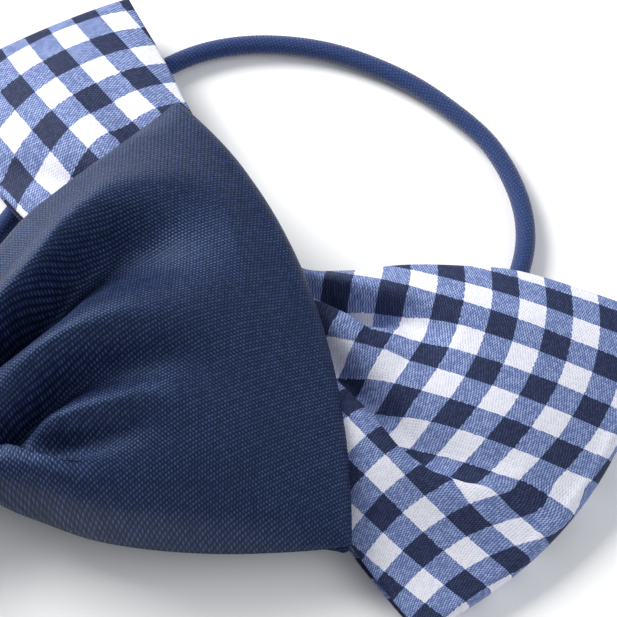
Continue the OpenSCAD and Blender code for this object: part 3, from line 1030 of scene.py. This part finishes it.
@dataclass
class GinghamBow:
    """A gingham bow behind one satin loop: an upper and an outer loop, tied at their gather."""

    finishes: Finishes
    tie_aim: float = 124.5
    over_ring: float = 2.7

    def root(self) -> Pair:
        """The gather's place."""
        tie = middle_of("gingham_tie_right")
        return tie.x, tie.y

    def neck_z(self) -> Pair:
        """The loops' underside and top where they leave the tie."""
        return top_of("felt_backing") + 0.8, top_of("gingham_tie_right") - 1.1

    def upper(self) -> ClothLoop:
        """The upper right loop, which lies flat over the elastic."""
        z = self.over_ring
        folds = (
            Fold(FoldKind.VALLEY, ((6, 1), (14, 8), (22, 15), (27, 20)), ((6, 0.8), (16, 1.2), (24, 0.8), (30, 0)),
                 ((6, 1.2), (18, 2.2), (30, 4))),
            Fold(FoldKind.VALLEY, ((6, -0.5), (16, 1.5), (24, 4), (32, 6)), ((6, 0.8), (16, 0.9), (24, 0.5), (32, 0)),
                 ((6, 1.0), (18, 1.8), (32, 3))),
            Fold(FoldKind.RIDGE, ((6, 0.4), (16, 4.6), (26, 9), (36, 11)), ((6, 0.4), (20, 0.7), (30, 0.4), (38, 0)),
                 ((6, 1.2), (18, 3), (38, 6))),
        )
        return ClothLoop(
            name="gingham_loop_upper_right", node="upper_loop_right", finish=self.finishes.gingham,
            root=self.root(), aim=103, start=3.0, length=42.7, fold_bow=0.6, fold_skew=-0.3,
            low_edge=((0, 3), (0.5, 4.4), (0.8, 5.3), (1, 5.5)),
            high_edge=((0, 3), (0.04, 8), (0.12, 13), (0.35, 18.2), (0.6, 19.8), (1, 20.6)),
            neck_z=self.neck_z(), low_z=(z, z + 2.4), middle_z=(z, z + 2.8), high_z=(z, z + 2.4), puff=2.0, rise=0.8,
            crest=1.6, flat=(27, 82), rests_on=("elastic_cord",), folds=folds,
            lay=Lay(25, (0.852, 0.965), (0.0139, 0.0048), (-37.24, 9.71)), rows=(90, 12, 50),
            columns=90, pleats=3, pleat_depth=0.6,
        )

    def outer(self) -> ClothLoop:
        """The outer right loop, with its lower panel lapped over the rest."""
        panel_edge = ((8, -4.0), (13, -5.6), (17.8, -6.5), (20.4, -6.8), (23, -7.5), (26, -8.2), (29.1, -8.0),
                      (31.7, -7.0), (33.6, -6.1), (36, -4.5))
        folds = (
            Fold(FoldKind.VALLEY, ((6, 1.0), (9, 1.6), (11.2, 2.3), (14.3, 3.0), (18, 4.6)),
                 ((6, 3.6), (10, 5.4), (14, 4.8), (18, 2.2), (24, 0)), ((6, 0.8), (12, 1.1), (18, 1.5), (24, 2.4))),
            Fold(FoldKind.RIDGE, ((6, 2.6), (12, 4.8), (20, 8.0), (32, 13)), ((6, 0.5), (14, 0.8), (24, 0.5), (34, 0)),
                 ((6, 1.0), (14, 2.0), (34, 4))),
            Fold(FoldKind.LAP, ((6, -0.6), (10.1, -0.2), (13.6, 0.2), (16.2, 0.4), (18.4, 0.8), (22, 1.4)),
                 ((6, 1.2), (13, 1.7), (17, 1.0), (21, 0)), ((6, 0.45), (15, 0.5), (22, 0.9)), side=-1, lap=0.65,
                 fade=3.5),
            Fold(FoldKind.LAP, panel_edge,
                 ((8, 2.0), (18, 2.7), (25, 2.3), (30, 1.3), (34, 0.5), (38, 0)), ((8, 0.5), (26, 0.55), (38, 1.4)),
                 side=-1, lap=0.75, fade=7),
            Fold(FoldKind.VALLEY, ((12, -3.9), (18, -5.0), (22, -5.6), (27, -6.3), (32, -5.3), (36, -3)),
                 ((10, 1.2), (16, 2.6), (22, 2.2), (28, 1.5), (33, 0.6), (37, 0)), ((12, 1.3), (20, 1.9), (36, 2.8))),
        )
        return ClothLoop(
            name="gingham_loop_outer_right", node="outer_loop_right", finish=self.finishes.gingham,
            root=self.root(), aim=-50, start=3.0, length=44, fold_bow=5.5, fold_skew=1.0,
            low_edge=((0, 3), (0.08, 8), (0.2, 11), (0.45, 15.4), (0.67, 17.9), (0.81, 19.3), (1, 21)),
            high_edge=((0, 2.6), (0.08, 3.2), (0.18, 5.8), (0.31, 10.3), (0.45, 14.1), (0.6, 17.5), (0.77, 19.8),
                       (1, 22.3)), neck_z=self.neck_z(), low_z=(0.2, 2.8), middle_z=(1.2, 4.8),
            high_z=(3.4, 7.0), puff=3.0, rise=0.9, crest=1.7, flat=(42, 78), rests_on=("elastic_cord",),
            folds=folds, lay=Lay(21, (1.058, 1.157), (0.0227, 0.0006), (-17.48, -6.38)),
            second_lay=Lay(-21, (1.225, 1.168), (-0.024, -0.0053), (-18.52, -29.59)),
            split=(*panel_edge, (44, -2)), split_width=((8, 0.3), (30, 0.3), (36, 3), (44, 9)),
            rows=(110, 12, 60), columns=130, pleats=3, pleat_depth=0.5,
        )

    def tie(self, side: int) -> None:
        """Makes the tie strip and the gathered gingham inside it, on the right (1) or the left (-1)."""
        word = "right" if side > 0 else "left"
        node = f"gingham_tie_{word}"
        middle = middle_of(node)
        deep = top_of(node) - bottom_of(node)
        aim = self.tie_aim if side > 0 else 180 - self.tie_aim
        make_band(f"tie_wrap_{word}", self.finishes.satin, middle, aim, 8.2, deep, 5.0, 2.6, creases=2, node=node,
                  crown=0.2)
        make_bundle(f"gingham_gathers_{word}", self.finishes.gingham, middle, aim, 6.4, 5.0, 5.8,
                    f"gingham_waist_{word}")
        for kind in ("gingham_thread", "backing_stitches"):
            self.finishes.thread.dress(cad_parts[f"{kind}_{word}"])

    def build(self) -> None:
        """Makes both gingham bows."""
        for loop in (self.upper(), self.outer()):
            for made in (loop, loop.on_left()):
                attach(made.build(), "bow")
        for side in (1, -1):
            self.tie(side)


# ---------------------------------------------------------------- bands, bundles and felt


def settle(piece: bpy.types.Object, finish: Finish, node: str) -> None:
    """Dresses a fixed piece and puts it on the bow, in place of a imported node."""
    finish.dress(piece)
    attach(piece, "bow")
    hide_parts(node)
    LOG.info("%s", piece.name)


def make_band(name: str, finish: Finish, middle: Vector, aim: float, tall: float, deep: float, wide: float,
              corner: float, creases: int, node: str, crown: float) -> None:
    """Makes a strip of cloth that is bent round a bundle, with creases along it and its edges turned in.

    Args:
        name: the piece's name.
        finish: its finish.
        middle: its middle, in millimetres.
        aim: the direction of the bundle's axis in the bow's plane, in degrees.
        tall: its size across the axis, in the bow's plane.
        deep: its size from back to front.
        wide: the strip's width along the axis.
        corner: the radius of its four bends.
        creases: how many soft creases run round it.
        node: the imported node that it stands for.
        crown: how far the strip swells between its edges.
    """
    turn = np.linspace(0, 2 * math.pi, 121)
    c, s = np.cos(turn), np.sin(turn)
    half = np.array([tall / 2 - corner, deep / 2 - corner])
    core = np.stack([np.clip(c * 3, -1, 1) * half[0], np.clip(s * 3, -1, 1) * half[1]], -1)
    out = np.stack([c, s], -1)
    run = np.concatenate([[0], np.cumsum(np.linalg.norm(np.diff(core + out * corner, axis=0), axis=1))])
    w = np.linspace(-1, 1, 49)[:, None]
    swell = crown * (np.cos(math.pi * creases * w) * 0.5 - 0.5) * (1 - w ** 8) - corner * 0.25 * np.abs(w) ** 10
    lean = 0.12 * np.sin(2 * turn[None, :] + 3 * w)
    radius = corner + swell + lean * (1 - w ** 4)
    ring = core[None] + out[None] * radius[..., None]
    points = np.stack([np.broadcast_to(w * wide / 2, radius.shape), ring[..., 0], ring[..., 1]], -1)
    x, y = turned(points[..., 0], points[..., 1], aim)
    placed = np.stack([x + middle.x, y + middle.y, points[..., 2] + middle.z], -1)
    weave = np.stack(np.broadcast_arrays(run[None, :], w * wide / 2), -1)
    piece = grid_mesh(name, placed, weave, closed=True, flip=True)
    thicken(piece, STRIP_THICKNESS)
    settle(piece, finish, node)


def make_bundle(name: str, finish: Finish, middle: Vector, aim: float, tall: float, deep: float, long: float,
                node: str) -> None:
    """Makes a bundle of gathered cloth, fluted along its length.

    Args:
        name: the piece's name.
        finish: its finish.
        middle: its middle, in millimetres.
        aim: the direction of its axis in the bow's plane, in degrees.
        tall: its size across the axis, in the bow's plane.
        deep: its size from back to front.
        long: its length.
        node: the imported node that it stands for.
    """
    flutes = 14
    waisted = 0.86  # how far out the grooves lie, as a share of the ridges
    deselect()
    bpy.ops.mesh.primitive_cylinder_add(vertices=2 * flutes, radius=0.5, depth=1, location=(0, 0, 0))
    piece = bpy.context.object
    piece.name = piece.data.name = name
    for i, vertex in enumerate(piece.data.vertices):
        vertex.select = round(math.atan2(vertex.co.y, vertex.co.x) / math.pi * flutes) % 2 == 1
    bpy.ops.object.mode_set(mode="EDIT")
    bpy.context.tool_settings.mesh_select_mode = (True, False, False)
    bpy.ops.transform.resize(value=(waisted, waisted, 1))
    bpy.ops.mesh.select_all(action="SELECT")
    bpy.ops.uv.cube_project(cube_size=0.01)
    bpy.ops.object.mode_set(mode="OBJECT")
    piece.data.uv_layers[0].name = "weave"
    soft = piece.modifiers.new("soft_edge", "BEVEL")
    soft.width, soft.segments = 0.02, 2
    round_off = piece.modifiers.new("round_off", "SUBSURF")
    round_off.levels = round_off.render_levels = 2
    apply_modifiers(piece)
    piece.data.transform(Matrix.Translation(middle * MM) @ Matrix.Rotation(math.radians(aim), 4, "Z")
                         @ Matrix.Diagonal((long * MM, tall * MM, deep * MM, 1))
                         @ Matrix.Rotation(math.radians(90), 4, "Y"))
    bpy.ops.object.shade_smooth()
    settle(piece, finish, node)


def make_felt(finish: Finish) -> None:
    """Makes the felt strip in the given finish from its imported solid, with soft cut edges."""
    sharp = math.radians(40)
    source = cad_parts["felt_backing"]
    piece = bpy.data.objects.new("felt_strip", source.data.copy())
    piece.data.name = "felt_strip"
    bpy.context.scene.collection.objects.link(piece)
    only(piece)
    bpy.ops.object.mode_set(mode="EDIT")
    bpy.ops.mesh.select_all(action="SELECT")
    bpy.ops.mesh.remove_doubles(threshold=1e-5)
    bpy.ops.mesh.dissolve_limited(angle_limit=math.radians(1))
    bpy.ops.object.mode_set(mode="OBJECT")
    soft = piece.modifiers.new("soft_edge", "BEVEL")
    soft.width, soft.segments, soft.angle_limit = 0.28 * MM, 3, sharp
    apply_modifiers(piece)
    bpy.ops.object.shade_smooth_by_angle(angle=sharp)
    settle(piece, finish, "felt_backing")


def box_of_all() -> list[list[float]]:
    """The visible model's box, as plain lists."""
    return [[float(x) for x in corner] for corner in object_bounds()]


def main(cad_box: list[list[float]]) -> None:
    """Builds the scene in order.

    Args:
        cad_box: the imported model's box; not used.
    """
    logging.basicConfig(level=logging.INFO, format="%(message)s")
    studio = Studio()
    studio.camera()
    finishes = Finishes.make()
    Elastic().build(finishes)
    SatinBow(finishes).build()
    GinghamBow(finishes).build()
    make_felt(finishes.felt)
    studio.floor()
    studio.light()


if __name__ == "__main__":
    main(box_of_all())
